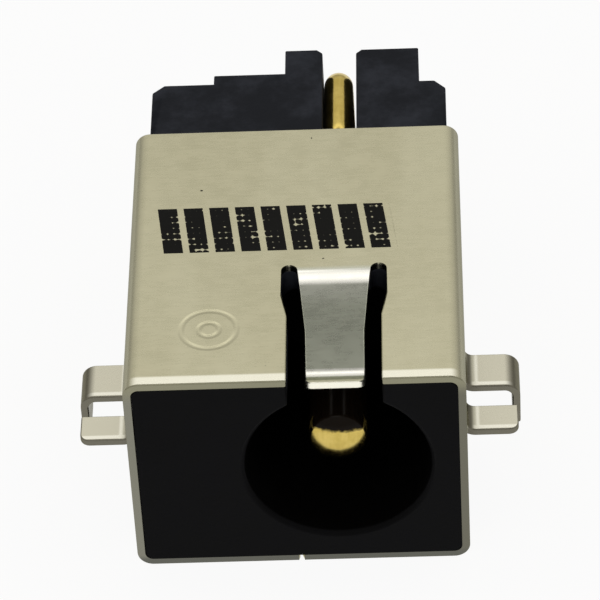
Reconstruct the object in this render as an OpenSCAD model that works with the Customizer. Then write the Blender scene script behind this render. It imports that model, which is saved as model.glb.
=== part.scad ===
// Shielded power jack for a 5.5 mm barrel plug, sunk in a cut-out of a circuit board.
// X is across the jack, Y runs from the mouth to the rear, Z is up from the shell's bottom plate.

/* [Shield shell] */
// Width of the shell over its side walls
shell_w = 11.6; // [11.4:0.1:13]
// Height of the shell over its top and bottom plates
shell_h = 8.5; // [8.3:0.1:9.5]
// Length of the shell
shell_l = 13.4; // [13.2:0.1:16]
// Thickness of the sheet
sheet_t = 0.28; // [0.2:0.01:0.32]
// Outer radius of the folded edges
fold_r = 0.55; // [0.4:0.05:0.8]

/* [Board level] */
// Height of the board face above the bottom plate
board_z = 4.15; // [3.9:0.05:4.3]
// Height of the lower ends of all solder legs
solder_z = 2.55; // [1.8:0.05:3]

/* [Shell wings] */
// Distance from the mid-plane to the outside of a solder leg
wing_x = 7.7; // [7.4:0.1:9]
// Where a wing begins behind the mouth
wing_y = 1.7; // [1.5:0.1:2]
// Length of the flat front strip along Y
wing_front_l = 1.24; // [1:0.02:1.4]
// Gap between the two strips
wing_gap = 0.98; // [0.6:0.02:1.1]
// Length of the strip that carries the leg
wing_rear_l = 1.66; // [1.2:0.02:1.8]
// Concave radius where the wall turns out into a wing
wing_root_r = 0.3; // [0.2:0.02:0.4]
// Outer radius where a wing turns down into its leg
wing_bend_r = 0.55; // [0.4:0.05:0.7]

/* [Shell windows] */
// Front edge of the corner windows
window_y0 = 1.25; // [1:0.05:1.35]
// Rear edge of the corner windows
window_y1 = 6; // [5.8:0.05:6.4]
// Inner edge of the left corner window, from the mid-plane
window_left_x = 3.54; // [3.2:0.02:4.2]
// Inner edge of the right corner window, from the mid-plane
window_right_x = 3.35; // [3.2:0.02:4.2]
// Radius of the window corners
window_r = 0.25; // [0.1:0.05:0.35]

/* [Latch tongues] */
// Depth to which the tongue tips are pushed in
latch_push = 0.5; // [0.3:0.05:0.6]
// Play between a tongue tip and its pocket wall
latch_play = 0.08; // [0.02:0.02:0.2]

/* [Contact finger] */
// Distance of the finger and the bore from the mid-plane
bore_x = 1.36; // [1.2:0.02:1.6]
// Half width of the finger at its root
finger_root_hw = 1.26; // [1:0.02:1.3]
// Half width of the finger at its tip
finger_tip_hw = 1.03; // [0.8:0.01:1.05]
// Half width of the cut-out at the mouth
cutout_front_hw = 1.62; // [1.5:0.02:1.66]
// Half width of the cut-out at the finger root
cutout_rear_hw = 1.83; // [1.7:0.01:1.9]
// Rear end of the cut-out
cutout_y = 5.95; // [5.6:0.05:6.4]
// Drop of the finger's lowest bend below the top plate
finger_drop = 1.15; // [1:0.05:1.4]

/* [Bore and centre pin] */
// Diameter of the bore for the plug
bore_d = 6.4; // [5.8:0.1:6.6]
// Height of the bore axis
bore_z = 4.5; // [4.3:0.05:4.6]
// Depth of the bore
bore_l = 9.6; // [9:0.1:10]
// Diameter of the contact part of the pin
pin_d = 2; // [1.6:0.05:2.5]
// Distance of the pin tip behind the mouth
pin_tip_y = 1.15; // [0.5:0.05:3]
// Diameter of the flange that seats the pin in the bore's floor
flange_d = 2.7; // [2.5:0.05:2.9]
// Diameter of the rod where it passes the rear wall
neck_d = 0.84; // [0.6:0.04:0.88]
// Diameter of the rod in the gap between the rear blocks
rod_d = 1.06; // [0.9:0.02:1.08]
// Largest diameter of the pin's solder tail
tail_d = 1.08; // [0.96:0.02:1.1]

/* [Sheet contacts] */
// Thickness of the sheet contacts
contact_t = 0.33; // [0.25:0.01:0.4]
// Distance of the switch contact from the mid-plane
switch_x = 4.47; // [4.4:0.01:4.5]
// Distance of the sleeve contact from the mid-plane
sleeve_x = 1.97; // [1.95:0.01:2.05]
// Height of the switch contact's lower edge
switch_z = 1.36; // [1.2:0.02:1.5]
// Height of the sleeve contact's lower edge
sleeve_z = 1.05; // [0.95:0.01:1.2]
// Play between a sheet contact and the sides of its slot
contact_play = 0.02; // [0.01:0.01:0.05]

/* [Moulded housing] */
// Play between the housing and the side walls
side_play = 0.03; // [0.02:0.01:0.1]
// Play on the left, behind the housing's front rim
left_play = 0.15; // [0.05:0.01:0.2]
// Corner radius of the housing
housing_r = 0.3; // [0.2:0.05:0.4]
// Overhang of the tall rear blocks beyond the shell
block_l = 4.95; // [4.6:0.05:5.4]

/* [Hidden] */
$fn = 40;
hw = shell_w / 2;                        // half the shell width
in_w = hw - sheet_t;                     // inner face of a side wall
roof = shell_h - sheet_t;                // inner face of the top plate
left_x = left_play - in_w;               // left side of the housing
right_x = in_w - side_play;              // right side of the housing
total_l = shell_l + block_l;             // from the mouth to the rear end
slot_hw = contact_t / 2 + contact_play;  // half the width of a contact's slot
rise_y = shell_l + block_l - 0.6;        // axis of the pin's solder tail
key_z = [1.55, 3.5];                     // side key of the housing in the shell's rear notch
key_l = 0.75;                            // its length
contact_y0 = bore_l - 1.1;               // front edge of the sheet contacts
contact_y1 = shell_l + 3.6;              // their rear edge
contact_top = roof - 1.12;               // upper edge of the sheet contacts
tail_x = bore_x + 0.12;                  // the rod steps aside into its gap
rod_z = 7.25;                            // height of the rod in its gap
pocket_z = 2 * sheet_t + latch_push;     // floor of the latch pockets
finger_tip_y = 0.74;                     // front end of the finger
// windows [x0, x1, y0, y1] and their tongues [x0, x1, tip, root], seen from above
right_window = [1.47, 4.04, shell_l - 4.4, shell_l - 0.9];
right_tongue = [2.11, 3.47, shell_l - 3.2, shell_l - 1.1];
left_window = [-hw - 2, -2.83, shell_l - 5.9, shell_l - 3.15];
left_tongue = [-4.56, -3.32, shell_l - 5.26, shell_l - 3.2];

// The whole drawing is centred on Y about the overall length.
module placed() translate([0, -total_l / 2, 0]) children();

// A profile drawn in X and Z, drawn out along Y.
module along_y(y0, y1) translate([0, y1, 0]) rotate([90, 0, 0]) linear_extrude(y1 - y0) children();

// A profile drawn in Y and Z, drawn out along X.
module along_x(x0, x1) translate([x0, 0, 0]) rotate([90, 0, 90]) linear_extrude(x1 - x0) children();

// A profile drawn in X and Y, drawn out along Z.
module along_z(z0, z1) translate([0, 0, z0]) linear_extrude(z1 - z0) children();

// Rectangle with four round corners.
module slab(x0, y0, x1, y1, r) {
    translate([x0 + r, y0]) square([x1 - x0 - 2 * r, y1 - y0]);
    translate([x0, y0 + r]) square([x1 - x0, y1 - y0 - 2 * r]);
    for (x = [x0 + r, x1 - r], y = [y0 + r, y1 - r]) translate([x, y]) circle(r, $fn = 24);
}

// Quarter of a bent sheet about (x, y); sx and sy say which quarter.
module bend(x, y, r, sx, sy) intersection() {
    translate([x, y]) difference() { circle(r + sheet_t); circle(r); }
    translate([sx > 0 ? x : x - 3, sy > 0 ? y : y - 3]) square(3);
}

// Points of an arc from angle a0 to a1.
function arc(x, y, r, a0, a1, n = 8) =
    [for (i = [0:n]) let (a = a0 + (a1 - a0) * i / n) [x + r * cos(a), y + r * sin(a)]];

// Unit direction and left-hand normal at point i of a line.
function dir(p, i) = let (d = p[min(i + 1, len(p) - 1)] - p[max(i - 1, 0)]) d / norm(d);
function side(p, i, w) = p[i] + w * [-dir(p, i)[1], dir(p, i)[0]];

// Sheet of the shell's thickness hanging below a line of its outer face.
module sheet_line(p)
    polygon([for (i = [0:len(p) - 1]) p[i], for (i = [len(p) - 1:-1:0]) side(p, i, sheet_t)]);

// ---------------------------------------------------------------- shield shell

// Outline of the cut-out around the finger, seen from above.
module cutout_plan() translate([bore_x, 0]) {
    sr = (cutout_rear_hw - finger_root_hw) / 2;
    polygon([[-cutout_front_hw, -1], [cutout_front_hw, -1], [cutout_front_hw, cutout_y - 2.65],
        [cutout_rear_hw, cutout_y - 1.35], [cutout_rear_hw, cutout_y - sr], [-cutout_rear_hw, cutout_y - sr],
        [-cutout_rear_hw, cutout_y - 1.35], [-cutout_front_hw, cutout_y - 2.65]]);
    for (s = [-1, 1]) translate([s * (finger_root_hw + sr), cutout_y - sr]) circle(sr, $fn = 24);
}

// Outline of the finger, seen from above, with round tip corners.
module finger_plan() translate([bore_x, 0]) {
    r = 0.3;
    w = finger_tip_hw;
    y0 = finger_tip_y;
    y1 = cutout_y - 0.35;
    polygon([[-w, y0 + r], [-w - 0.02, y1 - 2.1], [-(w + finger_root_hw) / 2 - 0.01, y1 - 1],
        [-finger_root_hw, y1], [-finger_root_hw, y1 + 2], [finger_root_hw, y1 + 2], [finger_root_hw, y1],
        [(w + finger_root_hw) / 2 + 0.01, y1 - 1], [w + 0.02, y1 - 2.1], [w, y0 + r]]);
    translate([-w + r, y0]) square([2 * w - 2 * r, r + 0.01]);
    for (s = [-1, 1]) translate([s * (w - r), y0 + r]) circle(r, $fn = 24);
}

// Outer face of the finger from the plate through the low bend to the raised tip.
module finger_side() {
    r1 = 2.2;                                // radius of the bend at the root
    r2 = 0.6;                                // radius of the low bend
    b = 31;                                  // slope of the raised tip
    y1 = cutout_y - 0.35;
    y2 = finger_tip_y + 0.8;
    low = shell_h - finger_drop;
    // slope of the finger, tangent to both bends
    a = asin((r1 + r2) / norm([y1 - y2, r1 + r2 - finger_drop])) - atan2(r1 + r2 - finger_drop, y1 - y2);
    e = [y2 - r2 * sin(b), low + r2 - r2 * cos(b)];
    sheet_line(concat([[cutout_y + 0.65, shell_h]], arc(y1, shell_h - r1, r1, 90, 90 + a),
        arc(y2, low + r2, r2, -90 + a, -90 - b),
        [[finger_tip_y - 0.3, e[1] + (e[0] - finger_tip_y + 0.3) * tan(b)]]));
}

// Line of width g along points that run in one direction only.
module slit(p, g = 0.05) for (i = [0:len(p) - 2]) stroke(p[i], p[i + 1], g);
module stroke(a, b, g) let (d = (b - a) / norm(b - a), n = [-d[1], d[0]] * g / 2, e = d * g / 2)
    polygon([a - e + n, b + e + n, b + e - n, a - e - n]);

// Seam between the shell's two halves, around two tabs with hooked necks.
module seam_plan() {
    t0 = shell_l - 6.15;                     // front of the rear tab
    t1 = shell_l - 2.2;                      // its rear end
    slit(concat([[-0.1, -0.5]], arc(-0.34, 1.85, 0.2, 0, 90, 4),
        [[-1.61, 2.05], [-1.61, t0 - 1.55], [-0.24, t0 - 1.55], [-0.26, t0], [-1.67, t0], [-1.67, t1],
        [-0.28, t1], [-0.32, shell_l + 0.5]]));
    slit(concat([[-0.24, t0 - 1.55]], arc(-0.44, t0 - 2.2, 0.2, 0, -90, 4), [[-0.62, t0 - 2.4]]));
    slit(concat([[-0.28, t1]], arc(-0.48, t1 - 0.25, 0.2, 0, -90, 4), [[-0.66, t1 - 0.45]]));
    polygon([[-0.22, -0.1], [0.07, -0.1], [-0.08, 0.34]]);
}

// Outline of a latch tongue; its root is on the plate behind the window.
module tongue_plan(x0, x1, y0, y1) {
    r = 0.34;
    translate([x0, y0 + r]) square([x1 - x0, y1 - y0 - r]);
    translate([x0 + r, y0]) square([x1 - x0 - 2 * r, r + 0.01]);
    for (x = [x0 + r, x1 - r]) translate([x, y0 + r]) circle(r, $fn = 24);
}

// One latch window with its pushed-in tongue, both described from above.
module latch_window(w, t) along_z(-1, 1) {
    slab(w[0], w[2], w[1], t[2] + 1, window_r);
    slab(w[0], w[2], t[0], w[3], window_r);
    slab(t[1], w[2], w[1], w[3], min(window_r, (w[1] - t[1]) / 2 - 0.01));
    translate([t[0] - 0.1, t[2]]) square([t[1] - t[0] + 0.2, w[3] - t[2] - 0.35]);
}

module latch_tongue(t, w) {
    tip = t[2];
    root = t[3];
    a = atan(latch_push / (root - tip - 0.17));
    intersection() {
        along_z(-1, 2) tongue_plan(t[0], t[1], tip, root + 0.3);
        along_x(t[0] - 0.1, t[1] + 0.1)
            sheet_line([[tip - 0.3, latch_push + 0.3 * tan(a)], [tip, latch_push],
                [root - 0.35, 0.2 * tan(a)], [root - 0.15, 0.02], [root, 0], [root + 0.3, 0]]);
    }
    // plate that carries the root
    translate([t[0], root - 0.1, 0]) cube([t[1] - t[0], w[3] - root + 0.25, sheet_t]);
    for (x = [t[0], t[1]]) translate([x - 0.1, w[3] - 0.36, 0]) cube([0.2, 0.5, sheet_t]);
}

// Pocket in the housing that a tongue's tip catches in.
module latch_pocket(t, x0, x1)
    translate([x0, t[2] - latch_play, -1]) cube([x1 - x0, t[3] - t[2] + latch_play + 0.04, pocket_z + 1]);

// Right wing: wall turning out, two strips, one of them turned down into a leg.
module wing() {
    zt = board_z + sheet_t;
    cx = hw + wing_root_r;
    bx = wing_x - wing_bend_r;
    br = wing_bend_r - sheet_t;
    y1 = wing_y + wing_front_l;
    y2 = y1 + wing_gap;
    y3 = y2 + wing_rear_l;
    // both strips leave the wall together and are parted by the gap
    for (s = [[wing_y, y1], [y2, y3]]) along_y(s[0], s[1]) {
        translate([in_w, zt + wing_root_r - 0.01]) square([sheet_t, 0.5]);
        bend(cx, zt + wing_root_r, wing_root_r, -1, -1);
    }
    difference() {
        along_z(board_z, zt) translate([cx - 0.01, wing_y]) square([wing_x - 0.1 - cx, wing_front_l]);
        along_z(board_z - 1, zt + 1) translate([wing_x - 0.11 - 0.35, wing_y]) difference() {
            translate([0, -1]) square([1, 1.35]);
            translate([0, 0.35]) circle(0.35);
        }
    }
    along_y(y2, y3) {
        translate([cx - 0.01, board_z]) square([bx - cx + 0.02, sheet_t]);
        bend(bx, zt - wing_bend_r, br, 1, 1);
    }
    along_x(wing_x - sheet_t, wing_x) {
        translate([y2, solder_z + 0.25]) square([y3 - y2, zt - wing_bend_r - solder_z - 0.24]);
        translate([y2 + 0.25, solder_z]) square([y3 - y2 - 0.5, 0.26]);
        for (y = [y2 + 0.25, y3 - 0.25]) translate([y, solder_z + 0.25]) circle(0.25, $fn = 24);
    }
}

// Opening in a side wall that the wing is bent out of, with reliefs beside the strips.
module wing_window() {
    zt = board_z + sheet_t + wing_root_r;
    y1 = wing_y + wing_front_l;
    y2 = y1 + wing_gap;
    y3 = y2 + wing_rear_l;
    along_x(hw - 1, hw + 1) {
        translate([window_y0, -1]) square([window_y1 - window_y0, zt + 1]);
        for (s = [[window_y0, wing_y], [y1, y2], [y3, window_y1]])
            slab(s[0], 3, s[1], zt + 0.25, 0.18);
    }
}

module shield_shell() {
    color([0.78, 0.76, 0.70]) placed() {
        difference() {
            along_y(0, shell_l) difference() {
                slab(-hw, 0, hw, shell_h, fold_r);
                slab(-in_w, sheet_t, in_w, roof, max(fold_r - sheet_t, 0.1));
            }
            // cut-out around the finger
            along_z(roof - 0.5, shell_h + 1) difference() {
                cutout_plan();
                translate([bore_x - finger_root_hw, cutout_y - 0.35]) square([2 * finger_root_hw, 3]);
            }
            // corner windows and the openings the wings came from
            along_z(-1, 1) {
                slab(window_right_x, window_y0, hw + 2, window_y1, window_r);
                slab(-hw - 2, window_y0, -window_left_x, window_y1, window_r);
            }
            wing_window();
            mirror([1, 0, 0]) wing_window();
            // latch windows; the left one runs around the fold
            latch_window(right_window, right_tongue);
            latch_window(left_window, left_tongue);
            along_x(-hw - 1, -in_w + 0.5) slab(left_window[2], -1, left_window[3], 1.7, 0.2);
            // notch in the rear edge of the left wall
            along_x(-hw - 1, -in_w + 0.5) slab(shell_l - key_l, key_z[0], shell_l + 1, key_z[1], 0.06);
            along_z(-1, 1) seam_plan();
        }
        intersection() {
            along_z(0, shell_h + 1) intersection() {
                finger_plan();
                translate([-hw, -1]) square([shell_w, cutout_y + 1.45]);
            }
            along_x(bore_x - 2, bore_x + 2) finger_side();
        }
        wing();
        mirror([1, 0, 0]) wing();
        latch_tongue(right_tongue, right_window);
        latch_tongue(left_tongue, left_window);
    }
}

// ---------------------------------------------------------------- moulded housing

// Slots for one sheet contact: the blade below, the arm above, open to the rear.
module contact_slot(x, z0) {
    along_x(x - slot_hw, x + slot_hw) {
        translate([contact_y0 - 0.1, z0]) square([shell_l - contact_y0 + 1, contact_top - z0]);
        translate([shell_l - 0.01, board_z - 1]) square([6, contact_top - board_z + 1]);
    }
}

// Rear blocks above the board, seen from above.
module block_plan() {
    l = shell_l;
    y0 = l - 1;
    a = 0.24 - in_w;                         // left side of the blocks
    b = in_w - 0.12;                         // right side
    polygon([[a + 0.28, y0], [a + 0.28, l], [a, l], [a, l + 2.68], [a + 0.42, l + 3.1],
        [-3.05, l + 3.1], [-3.05, l + 3.6], [-0.45, l + 3.6], [-0.45, l + block_l],
        [0.72, l + block_l], [0.92, l + block_l - 0.2], [0.92, l], [2.15, l],
        [2.15, l + block_l - 0.25], [2.35, l + block_l - 0.05], [4.44, l + block_l - 0.05],
        [4.44, l + 2.95], [b - 0.4, l + 2.95], [b, l + 2.5], [b, l], [b - 0.4, l], [b - 0.4, y0]]);
}

module housing() {
    color([0.10, 0.10, 0.11]) placed() difference() {
        union() {
            // the front rim fills the shell; behind it the left side stands back
            along_y(0, window_y0 - 0.1) slab(-right_x, sheet_t, right_x, roof, housing_r);
            along_y(window_y0 - 0.1, shell_l) slab(left_x, sheet_t, right_x, roof, housing_r);
            // side key in the notch of the shell's left wall
            translate([-hw + 0.06, shell_l - key_l + 0.05, key_z[0] + 0.05])
                cube([1, key_l - 0.05, key_z[1] - key_z[0] - 0.1]);
            along_z(board_z, roof) block_plan();
        }
        // bore with a small chamfer at the mouth
        translate([bore_x, bore_l, bore_z]) rotate([90, 0, 0]) cylinder(h = bore_l + 1, d = bore_d, $fn = 96);
        translate([bore_x, 0.15, bore_z]) rotate([90, 0, 0])
            cylinder(h = 0.16, d1 = bore_d, d2 = bore_d + 0.3, $fn = 96);
        // notch that the contact finger moves in
        along_z(bore_z + 2, shell_h) cutout_plan();
        // seat of the pin's flange, hole for its rod and the round recess behind
        translate([bore_x, bore_l + 1.2, bore_z]) rotate([90, 0, 0]) cylinder(h = 1.5, d = flange_d);
        translate([bore_x, shell_l, bore_z]) rotate([90, 0, 0])
            cylinder(h = shell_l - bore_l, d = neck_d, $fn = 24);
        translate([bore_x + 0.1, shell_l + 0.01, bore_z - 0.1]) rotate([90, 0, 0])
            cylinder(h = 1.21, d = 3.6, $fn = 64);
        // gap between the tall blocks, down to the pin's axis
        translate([0.92, shell_l - 0.01, board_z - 1]) cube([1.23, 6, shell_h]);
        // hollows in the rear face, below the board
        along_y(shell_l - 3, shell_l + 0.01) {
            translate([-3.97, 1.74]) square([1.01, board_z - 1.74]);
            difference() {
                translate([-1.72, 1.74]) square([1.3, board_z - 1.74]);
                translate([bore_x + 0.1, bore_z - 0.1]) circle(2.4, $fn = 64);
            }
            difference() {
                translate([3.4, 1.9]) square([1.38, board_z - 1.9]);
                translate([bore_x + 0.1, bore_z - 0.1]) circle(2.4, $fn = 64);
            }
        }
        along_y(shell_l - 1.2, shell_l + 0.01) translate([-2.73, 1.74]) square([0.5, board_z - 1.74]);
        along_y(shell_l - 2, shell_l + 0.01) translate([-0.26, 1.04]) square([1.58, 0.94]);
        contact_slot(-switch_x, switch_z);
        contact_slot(-sleeve_x, sleeve_z);
        // pockets for the tips of the latch tongues
        latch_pocket(right_tongue, right_window[0] + 0.05, right_window[1] - 0.02);
        latch_pocket(left_tongue, -hw, left_window[1] - 0.07);
    }
}

// ---------------------------------------------------------------- centre pin

// Quarter bend of the rod about (y, z), starting at angle a0, in a plane along Y.
module rod_bend(y, z, r, a0, d) translate([tail_x, y, z]) rotate([0, 90, 0]) rotate([0, 0, a0])
    rotate_extrude(angle = 90) translate([r, 0]) circle(d = d, $fn = 24);

module centre_pin() {
    r = 0.66;
    y_up = shell_l + 0.58;
    dome_r = 1.7;                            // radius of the domed tip
    tip_r = 0.15;                            // radius between the dome and the side
    c = sqrt(pow(dome_r - tip_r, 2) - pow(pin_d / 2 - tip_r, 2));
    t = atan2(c, pin_d / 2 - tip_r);
    color([0.83, 0.66, 0.30]) placed() {
        // contact part with a domed tip, and the flange seated in the bore's floor
        translate([bore_x, 0, bore_z]) rotate([-90, 0, 0]) {
            rotate_extrude() polygon(concat([[0, pin_tip_y]], arc(0, pin_tip_y + dome_r, dome_r, -85, -t, 4),
                arc(pin_d / 2 - tip_r, pin_tip_y + dome_r - c, tip_r, 6 - t, 0, 5),
                [[pin_d / 2, pin_tip_y + 1], [0, pin_tip_y + 1]]));
            translate([0, 0, pin_tip_y + 1]) cylinder(h = bore_l - pin_tip_y - 1, d = pin_d);
            translate([0, 0, bore_l]) cylinder(h = 1.2, d = flange_d);
            translate([0, 0, bore_l + 1.2]) cylinder(h = shell_l - bore_l - 2.1, d = neck_d, $fn = 24);
        }
        // the rod steps aside in the recess and turns up
        y_in = shell_l - 0.9;
        translate([bore_x, y_in, bore_z]) sphere(d = neck_d + 0.02, $fn = 24);
        translate([bore_x, y_in, bore_z]) rotate([-90, 0, -atan((tail_x - bore_x) / (y_up - r - y_in))])
            cylinder(h = norm([tail_x - bore_x, y_up - r - y_in]), d = neck_d, $fn = 24);
        translate([tail_x, y_up - r, bore_z]) sphere(d = neck_d + 0.02, $fn = 24);
        rod_bend(y_up - r, bore_z + r, r, 0, neck_d);
        translate([tail_x, y_up, bore_z + r])
            cylinder(h = rod_z - bore_z - 2 * r, d1 = neck_d, d2 = rod_d, $fn = 24);
        rod_bend(y_up + r, rod_z - r, r, 180, rod_d);
        translate([tail_x, y_up + r, rod_z]) rotate([-90, 0, 0])
            cylinder(h = rise_y - y_up - 2 * r, d = rod_d, $fn = 24);
        rod_bend(rise_y - r, rod_z - r, r, 90, rod_d);
        // solder tail, a little fuller in the middle, with a chamfered end
        translate([tail_x, rise_y, 5.1]) cylinder(h = rod_z - r - 5.1, d1 = tail_d, d2 = rod_d, $fn = 24);
        translate([tail_x, rise_y, board_z - 0.4]) cylinder(h = 5.1 - board_z + 0.4, d = tail_d, $fn = 24);
        translate([tail_x, rise_y, solder_z + 0.1])
            cylinder(h = board_z - solder_z - 0.5, d1 = 0.9, d2 = tail_d, $fn = 24);
        translate([tail_x, rise_y, solder_z]) cylinder(h = 0.1, d1 = 0.76, d2 = 0.9, $fn = 24);
    }
}

// ---------------------------------------------------------------- sheet contacts

// Blade in the housing, arm over the board and leg through it, drawn in Y and Z.
module contact_side(z0) {
    l = shell_l;
    y1 = contact_y1;
    polygon(concat([[contact_y0, z0], [l, z0], [l, board_z + 0.3], [y1 - 0.85, board_z + 0.3],
        [y1 - 0.85, solder_z]], arc(y1 - 0.2, solder_z + 0.2, 0.2, -90, 0, 6),
        [[y1, board_z + 0.45], [y1 - 0.1, board_z + 0.55], [y1 - 0.1, contact_top - 0.3],
        [y1 - 0.4, contact_top], [contact_y0, contact_top]]));
}

module sleeve_contact() color([0.80, 0.79, 0.75]) placed()
    along_x(-sleeve_x - contact_t / 2, -sleeve_x + contact_t / 2) contact_side(sleeve_z);

module switch_contact() color([0.80, 0.79, 0.75]) placed()
    along_x(-switch_x - contact_t / 2, -switch_x + contact_t / 2) contact_side(switch_z);

shield_shell();
housing();
centre_pin();
sleeve_contact();
switch_contact();
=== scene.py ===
"""Shielded DC barrel jack: satin nickel shell, black moulding, gold pin, tinned contacts."""
import math

import bmesh
import bpy
import numpy as np
from mathutils import Matrix, Vector


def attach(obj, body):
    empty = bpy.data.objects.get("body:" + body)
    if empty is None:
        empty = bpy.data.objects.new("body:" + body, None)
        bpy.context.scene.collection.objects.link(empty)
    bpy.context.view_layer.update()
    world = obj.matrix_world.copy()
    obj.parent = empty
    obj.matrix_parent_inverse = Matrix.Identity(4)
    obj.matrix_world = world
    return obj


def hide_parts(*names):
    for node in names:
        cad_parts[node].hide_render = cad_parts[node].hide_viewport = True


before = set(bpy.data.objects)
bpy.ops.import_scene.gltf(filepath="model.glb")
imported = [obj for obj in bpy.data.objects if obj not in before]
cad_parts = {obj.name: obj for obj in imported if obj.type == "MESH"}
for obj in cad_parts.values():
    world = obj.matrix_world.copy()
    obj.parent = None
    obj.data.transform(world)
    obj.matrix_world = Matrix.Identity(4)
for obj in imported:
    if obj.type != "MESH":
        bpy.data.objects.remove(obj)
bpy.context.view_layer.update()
MM = 0.001

# places in mm: X from the middle, Y from the mouth, Z from the shell's underside
MOUTH = -9.175          # the mouth's own Y, because the CAD is centred on Y
BORE_X, BORE_Z, BORE_R = 1.36, 4.5, 3.2
SHELL_L = 13.4
INNER_X = 5.519         # inner face of the shell's side walls
WING_CORNER = (7.24, 2.05)              # centre of the front strip's rounded corner
STRIPS = ((1.7, 2.94), (3.92, 5.58))    # front and rear of the wings' two strips
SEAM_TABS = ((3.88, 1.8), (9.22, 1.95))  # middle and half length of the seam's two tabs
SCORES = (3.1, 4.05, 8.05, 8.9, 9.8, 10.2)  # scored lines across the tabs
CREASES = (-2.95, 2.9)  # lines along the underside where it was pressed flat
DOT_W, DOT_L = 0.226, 0.3               # pitch of the ink's dots, four of them to a block


# ------------------------------------------------------------------ shader maths

class Sock:
    """A node socket whose operators add Math nodes."""

    def __init__(self, mat, socket):
        self.mat, self.socket = mat, socket

    def _math(self, op, *others):
        return self.mat.node("ShaderNodeMath", {"operation": op}, [self, *others])

    def __add__(self, o): return self._math("ADD", o)
    __radd__ = __add__
    def __sub__(self, o): return self._math("SUBTRACT", o)
    def __rsub__(self, o): return self.mat.node("ShaderNodeMath", {"operation": "SUBTRACT"}, [o, self])
    def __mul__(self, o): return self._math("MULTIPLY", o)
    __rmul__ = __mul__
    def __truediv__(self, o): return self._math("DIVIDE", o)
    def max(self, o): return self._math("MAXIMUM", o)
    def min(self, o): return self._math("MINIMUM", o)
    def abs(self): return self._math("ABSOLUTE")
    def fract(self): return self._math("FRACT")

    def ramp(self, lo, hi, a=0.0, b=1.0):
        """a below lo, b above hi, smooth between."""
        return self.mat.node("ShaderNodeMapRange", {"interpolation_type": "SMOOTHSTEP"},
                             {"Value": self, "From Min": lo, "From Max": hi, "To Min": a, "To Max": b})

    def fall(self, lo, hi):
        """1 below lo, 0 above hi, smooth between."""
        return self.ramp(lo, hi, 1.0, 0.0)


class Nodes:
    """The nodes of a material or a world, with a single method that adds any node."""

    def __init__(self, owner, shader, coordinates):
        owner.use_nodes = True
        self.owner, self.tree = owner, owner.node_tree
        self.shader = self.tree.nodes[shader]
        self.co = self.node("ShaderNodeTexCoord", {}, {}, coordinates)

    def set(self, name, value):
        if isinstance(value, Sock):
            self.tree.links.new(value.socket, self.shader.inputs[name])
        else:
            self.shader.inputs[name].default_value = value

    def node(self, kind, settings=None, inputs=None, out=0):
        n = self.tree.nodes.new(kind)
        for key, value in (settings or {}).items():
            if key == "stops":
                for p, c in value[1:-1]:
                    n.color_ramp.elements.new(p)
                for e, (p, c) in zip(n.color_ramp.elements, value):
                    e.position, e.color = p, (*c, 1.0)
            else:
                setattr(n, key, value)
        items = enumerate(inputs) if isinstance(inputs, (list, tuple)) else (inputs or {}).items()
        for key, value in items:
            if isinstance(value, Sock):
                self.tree.links.new(value.socket, n.inputs[key])
            else:
                n.inputs[key].default_value = value
        return Sock(self, n.outputs[out])

    def mix(self, fac, a, b):
        """Colour a where fac is 0 and colour b where it is 1."""
        pick = lambda c: c if isinstance(c, Sock) else (*c, 1.0)
        n = self.tree.nodes.new("ShaderNodeMix")
        n.data_type = "RGBA"
        for socket, value in ((n.inputs[0], fac), (n.inputs[6], pick(a)), (n.inputs[7], pick(b))):
            if isinstance(value, Sock):
                self.tree.links.new(value.socket, socket)
            else:
                socket.default_value = value
        return Sock(self, n.outputs[2])

    def length(self, a, b):
        """Length of the vector (a, b)."""
        flat = self.node("ShaderNodeCombineXYZ", {}, {"X": a, "Y": b})
        return self.node("ShaderNodeVectorMath", {"operation": "LENGTH"}, {"Vector": flat}, "Value")


class Finish(Nodes):
    """One material, shaded by its place on the jack."""

    def __init__(self, name, colour, rough, metal=0.0, **extra):
        super().__init__(bpy.data.materials.new(name), "Principled BSDF", "Object")
        self.set("Base Color", (*colour, 1.0))
        self.set("Roughness", rough)
        self.set("Metallic", metal)
        for key, value in extra.items():
            self.set(key.replace("_", " "), value)

    def xyz(self):
        """Object coordinates in millimetres, Y counted from the mouth."""
        parts = (self.node("ShaderNodeSeparateXYZ", {}, [self.co], i) / MM for i in range(3))
        return [part - start for part, start in zip(parts, (0.0, MOUTH, 0.0))]

    def stretched(self, sx, sy, sz):
        return self.node("ShaderNodeMapping", {}, {"Vector": self.co, "Scale": (sx, sy, sz)})

    def noise(self, scale, detail=3.0, rough=0.5, vec=None):
        return self.node("ShaderNodeTexNoise", {}, {"Vector": vec or self.co, "Scale": scale,
                                                    "Detail": detail, "Roughness": rough})

    def bump(self, height, strength, distance):
        self.set("Normal", self.node("ShaderNodeBump", {}, {"Height": height, "Strength": strength,
                                                            "Distance": distance}))


# ------------------------------------------------------------------ finishes

def band(v, centre, half, soft):
    """1 where v is within half of centre, 0 outside, with a soft border."""
    return (v - centre).abs().fall(half - soft, half + soft)


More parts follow.
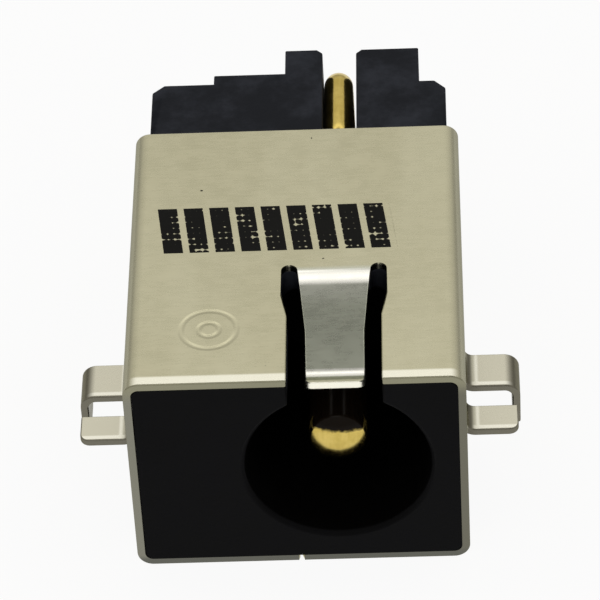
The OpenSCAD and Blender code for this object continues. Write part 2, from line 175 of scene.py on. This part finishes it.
def wing_painted_light(f, nickel, side, y, z):
    """Wings: plain strips in a lighter tone that is a painted reflection, with painted highlights along their
    front edges and inner folds, and painted shade on their fronts, outer folds and roots. side is the distance
    from the middle."""
    # painted reflection: the wings get a lighter tone than the rest of the sheet
    wings = side.ramp(5.85, 6.3)
    nickel = f.mix(wings, nickel, (0.66, 0.635, 0.52))
    strips = sum(band(y, (a + b) / 2, (b - a) / 2, 0.01) for a, b in STRIPS)
    fronts = sum(band(y, a, 0.05, 0.02) for a, _ in STRIPS)
    lips = sum(band(y, a + 0.15, 0.08, 0.04) for a, _ in STRIPS)
    corner = f.length((side - WING_CORNER[0]).max(0.0), (y - WING_CORNER[1]).min(0.0)).ramp(0.29, 0.33)
    outer = side.ramp(7.15, 7.5) * y.ramp(3.5, 3.6)
    # painted highlights along the strips' front lips and the inner fold
    bright = (lips + band(side, 6.17, 0.06, 0.05)).min(1.0) * strips * wings
    # painted shade on the strips' front faces, the rounded corner, the outer leg and the root fold
    dark = (fronts + corner + outer + band(side, 5.92, 0.08, 0.06)).min(1.0)
    nickel = f.mix(bright, nickel, (0.95, 0.93, 0.82))
    return f.mix(dark * side.ramp(5.8, 5.85) * z.fall(4.8, 4.9), nickel, (0.17, 0.16, 0.125))


def cut_edge_painted_light(f, nickel, finger, x, y, z, side):
    """Cut edges: painted shade on the mouth's cut face, a plain tone on the rear cut edge, and painted
    highlights along the top's front lip and at the finger's end.
    """
    mouth = y.fall(0.03, 0.07)
    # painted shade on the mouth's cut face: lighter to the left and at the top, darkest at the bottom
    dull = f.mix(x.ramp(-5.0, 5.0), (0.23, 0.225, 0.18), (0.16, 0.155, 0.12))
    dull = f.mix(z.ramp(7.6, 8.3), dull, (0.27, 0.26, 0.18))
    dull = f.mix(z.fall(0.2, 0.5), dull, (0.13, 0.13, 0.11))
    nickel = f.mix(mouth, nickel, dull)
    nickel = f.mix(y.ramp(SHELL_L - 0.07, SHELL_L - 0.03), nickel, (0.60, 0.58, 0.48))
    # painted highlights along the top's front lip and at the finger's end
    lip_painted_highlight = y.fall(0.34, 0.46) * (1.0 - mouth) * z.ramp(8.2, 8.35) * side.fall(5.3, 5.6)
    return f.mix((lip_painted_highlight + finger * y.fall(1.0, 1.06)).min(1.0), nickel, (0.98, 0.96, 0.82))


def ink_blocks(x, y, mottle):
    """Nine plain slanting blocks built up of ragged dots: u runs across them, four dots to a block."""
    u = x + y * 0.12 + 3.75
    pitch = 4 * DOT_W
    from_dot = u.mat.length(((u / DOT_W).fract() - 0.5) * DOT_W, ((y / DOT_L).fract() - 0.5) * 0.26)
    dots = (from_dot + (mottle - 0.5) * 0.3).fall(0.15, 0.18)
    row = band(u, 4.5 * pitch + 0.002, 4.5 * pitch + 0.002, 0.001) * band(y, 7.95, 1.2, 0.001)
    return dots * (u / pitch).fract().fall(0.748, 0.752) * row


def nickel_sheet():
    """Satin nickel: fine rolling grain, slow mottling, forming creases and coined seam tabs below,
    painted highlights, painted shade and a painted reflection where the sheet is bent, on its cut edges and on
    the wings, nine plain blocks of ink and a few specks on top."""
    f = Finish("satin_nickel", (0.62, 0.585, 0.44), 0.26, 1.0)
    f.set("Specular IOR Level", 0.12)
    f.set("Specular Tint", (0.6, 0.59, 0.52, 1.0))
    x, y, z = f.xyz()
    side = x.abs()
    above, below = z.ramp(8.3, 8.4), z.fall(0.35, 0.4)
    grain = f.noise(1.0, 4.0, 0.62, f.stretched(1500, 9500, 9500))
    mottle = f.noise(1500.0, 4.0, 0.62)
    cloud = f.noise(170.0, 2.0, 0.5)
    streak = f.noise(1.0, 2.0, 0.5, f.stretched(420, 90, 90))
    tone = (mottle * 0.5 + grain * 0.5).ramp(0.3, 0.7)
    nickel = f.mix(tone, (0.515, 0.49, 0.34), (0.575, 0.545, 0.385))
    nickel = f.mix(streak.ramp(0.35, 0.7) * 0.5, nickel, (0.63, 0.605, 0.44))
    # painted shade: the finger's slope gets a greyer, less warm tone; painted highlights along its root and
    # its low V, and a painted sheen that grows towards the root
    finger = band(x, BORE_X, 1.4, 0.05) * y.fall(5.6, 5.9) * z.ramp(6.2, 6.4)
    nickel = f.mix(finger, nickel, (0.52, 0.54, 0.45))
    finger_painted_highlights = band(y, 5.33, 0.31, 0.08) + band(y, 1.60, 0.17, 0.04) + y.ramp(4.0, 5.0, 0.0, 0.3)
    nickel = f.mix((finger_painted_highlights * finger).min(1.0), nickel, (0.96, 0.95, 0.89))
    # painted shade: the flanks are darker than the top
    nickel = f.mix(side.ramp(5.4, 5.8) * z.ramp(0.25, 0.5), nickel, (0.36, 0.35, 0.275))
    nickel = wing_painted_light(f, nickel, side, y, z)
    nickel = cut_edge_painted_light(f, nickel, finger, x, y, z, side)
    # painted shade: the slots' narrow rear ends are darkened nearly to black
    slot_painted_shade = z.fall(8.40, 8.47) * z.ramp(8.1, 8.2) * band(y, 5.81, 0.2, 0.04) * band(x, BORE_X, 2.0, 0.1)
    nickel = f.mix(slot_painted_shade * 0.9, nickel, (0.02, 0.02, 0.02))
    # coined and scored tabs of the bottom seam, and creases beside them
    tabs = sum(band(y, at, half, 0.03) for at, half in SEAM_TABS).min(1.0) * band(x, -0.93, 0.66, 0.02) * below
    nickel = f.mix(tabs * 0.7, nickel, (0.78, 0.765, 0.66))
    scores = sum(band(y, at, 0.03, 0.02) for at in SCORES) * tabs
    creases = sum(band(x, at, 0.12, 0.12) for at in CREASES) * below
    # patchy lighter streaks along the creases
    crease_streaks = creases * cloud.ramp(0.35, 0.65, 0.2, 0.8) * y.ramp(0.2, 0.5)
    nickel = f.mix(crease_streaks, nickel, (0.90, 0.88, 0.74))
    spatter = f.noise(2600.0, 1.0, 0.4).ramp(0.79, 0.81) * side.fall(4.9, 5.0)
    ink = ((ink_blocks(x, y, mottle) + spatter) * above).min(1.0)
    f.set("Base Color", f.mix(ink, nickel, (0.004, 0.004, 0.004)))
    f.set("Metallic", 1.0 - ink)
    f.set("Roughness", 0.21 + tone * 0.07 + cloud * 0.07 + ink * 0.3)
    # plain stamped double ring on the top's front left
    ring = f.length(x + 2.9, y - 2.7)
    stamp = (band(ring, 0.95, 0.07, 0.06) + band(ring, 0.35, 0.07, 0.06)) * above
    skin = (grain * 0.010 + mottle * 0.008) * (1.0 - finger * 0.6)
    f.bump(skin - stamp * 0.5 - scores * 0.6 - creases * 0.3, 0.6, 0.00006)
    return f.owner


def black_moulding():
    """Black nylon: fine spark texture, faint cloudy wear, painted shade down in the bore."""
    f = Finish("black_moulding", (0.008, 0.008, 0.010), 0.5, 0.0, IOR=1.5)
    f.set("Specular IOR Level", 0.05)
    x, y, z = f.xyz()
    cloud = f.noise(520.0, 6.0, 0.68)
    fine = f.noise(9000.0, 2.0, 0.5)
    tone = cloud.ramp(0.38, 0.72)
    # a paler tone on the rear's upper part and on a ledge high up behind the mouth
    rear = y.ramp(SHELL_L - 0.1, SHELL_L + 0.1) * z.ramp(4.2, 8.0)
    ledge = z.ramp(6.9, 7.9) * y.ramp(0.3, 0.9) * y.fall(6.2, 6.6)
    plain = f.mix(tone, (0.0018, 0.0018, 0.0021), (0.0042, 0.0042, 0.0050))
    paler_patches = f.mix(tone, (0.012, 0.0135, 0.018), (0.032, 0.035, 0.045))
    dull = f.mix(rear.max(ledge), plain, paler_patches)
    radius = f.length(x - BORE_X, z - BORE_Z)
    bore = radius.fall(BORE_R + 0.04, BORE_R + 0.1) * y.ramp(0.1, 0.2) * y.fall(11.0, 12.0)
    # painted shade: the bore's inside is made near black
    f.set("Base Color", f.mix(bore, dull, (0.0008, 0.0008, 0.0008)))
    f.set("Roughness", 0.5 + tone * 0.16)
    f.bump(fine * 0.4 + cloud * 0.6, 0.35, 0.00003)
    return f.owner


def gold_plate():
    """Thin gold over a turned brass pin, with a slightly pitted, drawn surface."""
    f = Finish("gold_plate", (0.80, 0.60, 0.22), 0.24, 1.0)
    mottle = f.noise(1900.0, 4.0, 0.6)
    drawn = f.noise(1.0, 3.0, 0.6, f.stretched(7000, 900, 900))
    tone = (mottle * 0.6 + drawn * 0.4).ramp(0.35, 0.65)
    _, y, z = f.xyz()
    gold = f.mix(tone, (0.56, 0.42, 0.10), (0.68, 0.52, 0.15))
    # painted shade: the shank down in the bore is made dark and not metallic, and a painted shadow of the
    # finger darkens the tip's upper part
    shank = band(y, 6.5, 4.7, 0.3)
    tip = (z + (mottle - 0.5) * 0.5).ramp(4.86, 5.02) * y.fall(2.2, 2.4)
    gold_painted_shade = shank.max(tip)
    f.set("Base Color", f.mix(gold_painted_shade, gold, (0.008, 0.005, 0.003)))
    f.set("Metallic", 1.0 - gold_painted_shade)
    f.set("Specular IOR Level", 0.08)
    f.set("Roughness", 0.16 + tone * 0.08)
    f.bump(mottle * 0.6 + drawn * 0.4, 0.12, 0.00003)
    return f.owner


def tin_plate():
    """Matt tin on stamped sheet, with bright streaks."""
    f = Finish("tin_plate", (0.66, 0.65, 0.61), 0.32, 1.0)
    streak = f.noise(1.0, 4.0, 0.6, f.stretched(3000, 9000, 700))
    tin = f.mix(streak.ramp(0.3, 0.7), (0.52, 0.51, 0.47), (0.80, 0.79, 0.76))
    # painted shade on each arm where it sits in the moulding's rear face; the legs stay bright but for a
    # darker band near the end
    _, y, z = f.xyz()
    arm_painted_shade = y.fall(SHELL_L - 0.05, SHELL_L + 0.2) * z.fall(3.6, 4.0)
    f.set("Base Color", f.mix(arm_painted_shade.max(band(y, 15.6, 0.22, 0.04) * 0.8), tin, (0.22, 0.21, 0.18)))
    f.set("Roughness", 0.2 + streak * 0.2)
    f.bump(streak, 0.3, 0.00003)
    return f.owner


# ------------------------------------------------------------------ pieces

def finished(name, node, finish, edge, segments=3, fine=None, close_to=None):
    """The node's own solid, merged, with its sharp edges rounded to the radius edge in mm.
    fine(middle) gives a smaller share of that radius, from 0 to 1, at an edge's middle in mm.
    close_to is the X in mm that its right flank is pressed out to, to shut a hairline of light."""
    bm = bmesh.new()
    bm.from_mesh(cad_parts[node].data)
    bmesh.ops.remove_doubles(bm, verts=bm.verts, dist=2e-7)
    bmesh.ops.dissolve_degenerate(bm, edges=bm.edges, dist=1e-7)
    bmesh.ops.dissolve_limit(bm, angle_limit=math.radians(0.6), verts=bm.verts, edges=bm.edges)
    if close_to:
        for v in bm.verts:
            if -0.05 < v.co.x / MM - close_to < 0:
                v.co.x = close_to * MM
    weight = bm.edges.layers.float.new("bevel_weight_edge")
    for e in bm.edges:
        if len(e.link_faces) == 2 and e.calc_face_angle(0.0) > math.radians(34):
            middle = (e.verts[0].co + e.verts[1].co) / 2 / MM - Vector((0, MOUTH, 0))
            e[weight] = fine(middle) if fine else 1.0
            e.smooth = e[weight] > 0
    mesh = bpy.data.meshes.new(name)
    bm.to_mesh(mesh)
    bm.free()
    mesh.materials.append(finish)
    for p in mesh.polygons:
        p.use_smooth = True
    mesh.set_sharp_from_angle(angle=math.radians(34))
    piece = bpy.data.objects.new(name, mesh)
    bpy.context.scene.collection.objects.link(piece)
    bevel = piece.modifiers.new("edge", "BEVEL")
    bevel.width = edge * MM
    bevel.segments = segments
    bevel.limit_method = "WEIGHT"
    bevel.harden_normals = True
    bevel.use_clamp_overlap = False
    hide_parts(node)
    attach(piece, "root")


def shell_edges(p):
    """Round outside, nearly sharp at the seam, the slots' ends and the rims' inner side."""
    if p.z < 0.3 and (-1.75 < p.x < 0.15):
        return 0.2
    if p.z < 0.4 and (11.8 < p.y < 12.45 or 9.5 < p.y < 10.2):
        return 0.0
    if p.z > 7.9 and 4.9 < p.y < 6 and abs(p.x - BORE_X) < 2:
        return 0.3 if p.y < 5.6 else 0.0
    if abs(p.x) < 5.55 and 0.27 < p.z < 8.23 and (p.y < 0.01 or abs(p.y - SHELL_L) < 0.01):
        return 0.3
    return 1.0


def body_edges(p):
    """Plain where the moulding meets the shell's walls or its blocks step in beside the shell's rim."""
    if p.y < 0.01 and (abs(p.x) > 5.4 or p.z > 8.15 or p.z < 0.35):
        return 0.0
    return 0.0 if abs(p.y - 1.15) < 0.06 or (abs(p.y - SHELL_L) < 0.06 and abs(p.x) > 4.8) else 1.0


finished("folded_shell", "shield_shell", nickel_sheet(), 0.06, 3, shell_edges)
finished("moulded_body", "housing", black_moulding(), 0.05, 3, body_edges, INNER_X)
finished("gold_pin", "centre_pin", gold_plate(), 0.03, 2)
tinned = tin_plate()
finished("sleeve_blade", "sleeve_contact", tinned, 0.05, 3)
finished("switch_blade", "switch_contact", tinned, 0.05, 3)


# ------------------------------------------------------------------ floor, light, camera

def ground():
    """Pale floor that shows almost white, keeps the soft shadow and is clear from below."""
    s = np.linspace(-0.6, 0.6, 5)
    gx, gy = np.meshgrid(s, s)
    co = np.stack([gx.ravel(), gy.ravel(), np.full(25, -0.00002)], 1)
    i = (np.arange(4)[:, None] * 5 + np.arange(4)).ravel()
    quads = np.stack([i, i + 1, i + 6, i + 5], 1)
    mesh = bpy.data.meshes.new("floor")
    mesh.from_pydata(co.tolist(), [], quads.tolist())
    obj = bpy.data.objects.new("floor", mesh)
    bpy.context.scene.collection.objects.link(obj)
    f = Finish("pale_floor", (0.9, 0.9, 0.9), 0.9)
    glow = f.node("ShaderNodeEmission", {}, {"Color": (1, 1, 1, 1), "Strength": 1.0})
    camera_ray, glossy_ray, clear_ray = (f.node("ShaderNodeLightPath", {}, {}, f"Is {kind} Ray")
                                         for kind in ("Camera", "Glossy", "Transmission"))
    ray = camera_ray.max(glossy_ray).max(clear_ray)
    shader = f.node("ShaderNodeMixShader", {}, {0: ray * 0.92, 1: Sock(f, f.shader.outputs[0]), 2: glow})
    underneath = f.node("ShaderNodeNewGeometry", {}, {}, "Backfacing")
    clear = f.node("ShaderNodeMixShader", {}, {0: underneath, 1: shader,
                                               2: f.node("ShaderNodeBsdfTransparent")})
    f.tree.links.new(clear.socket, f.tree.nodes["Material Output"].inputs["Surface"])
    mesh.materials.append(f.owner)


def lamp(name, at, size, power):
    """Square soft lamp at a place in mm, aimed at the middle of the jack."""
    data = bpy.data.lights.new(name, "AREA")
    data.shape, data.size, data.energy = "SQUARE", size * MM, power
    obj = bpy.data.objects.new(name, data)
    at = Vector(at) * MM
    aim = Vector((0, 0, 0.004)) - at
    obj.matrix_world = Matrix.Translation(at) @ aim.to_track_quat("-Z", "Y").to_matrix().to_4x4()
    bpy.context.scene.collection.objects.link(obj)


def camera(distance=150.6, mm_in_frame=34.2877, zoom=1.62):
    """Long lens, 42 degrees above the mouth and a touch to one side, at a distance in mm.
    Before the zoom, the frame is mm_in_frame wide at the jack."""
    e, yaw, roll = math.radians(41.99), math.radians(-2.69), math.radians(3.44)
    basis = Matrix(((1, 0, 0), (0, math.sin(e), math.cos(e)), (0, -math.cos(e), math.sin(e))))
    m = Matrix.Rotation(roll, 3, "Z") @ basis @ Matrix.Rotation(yaw, 3, "Z")
    aim = Vector((0, 6.0 + MOUTH, 4.3)) * MM
    cam = bpy.data.cameras.new("camera")
    cam.lens = 36.0 * distance / mm_in_frame * zoom
    cam.clip_start = 0.01
    cam.shift_y = 0.09
    obj = bpy.data.objects.new("camera", cam)
    obj.matrix_world = Matrix.Translation(aim + m.row[2] * distance * MM) @ m.transposed().to_4x4()
    bpy.context.scene.collection.objects.link(obj)
    bpy.context.scene.camera = obj


def studio():
    """World: a bright panel high up behind the jack, an even room before it, and a dark ceiling."""
    w = Nodes(bpy.data.worlds.new("studio"), "Background", "Generated")
    y, z = (w.node("ShaderNodeSeparateXYZ", {}, [w.co], axis) for axis in "YZ")

    def sky(*stops):
        """Grey levels against the height of the direction, from the horizon to straight up."""
        greys = [(at, (level, level * 0.985, level * 0.94)) for at, level in stops]
        return w.node("ShaderNodeValToRGB", {"stops": greys}, [z])

    behind = sky((0.0, 0.50), (0.16, 0.50), (0.32, 0.68), (0.67, 0.76), (0.78, 1.2), (0.85, 1.6),
                 (0.90, 1.2), (0.945, 0.19), (1.0, 0.17))
    before = sky((0.0, 0.50), (0.32, 0.68), (0.70, 0.76), (0.90, 0.19), (1.0, 0.17))
    share = w.node("ShaderNodeMapRange", {}, {"Value": y, "From Min": -0.12, "From Max": 0.12})
    w.set("Color", w.mix(share, before, behind))
    w.set("Strength", 1.0)
    bpy.context.scene.world = w.owner


ground()
lamp("front_top", (-20, -90, 170), 90, 0.03)
camera()
studio()
bpy.context.scene.view_settings.view_transform = "Standard"
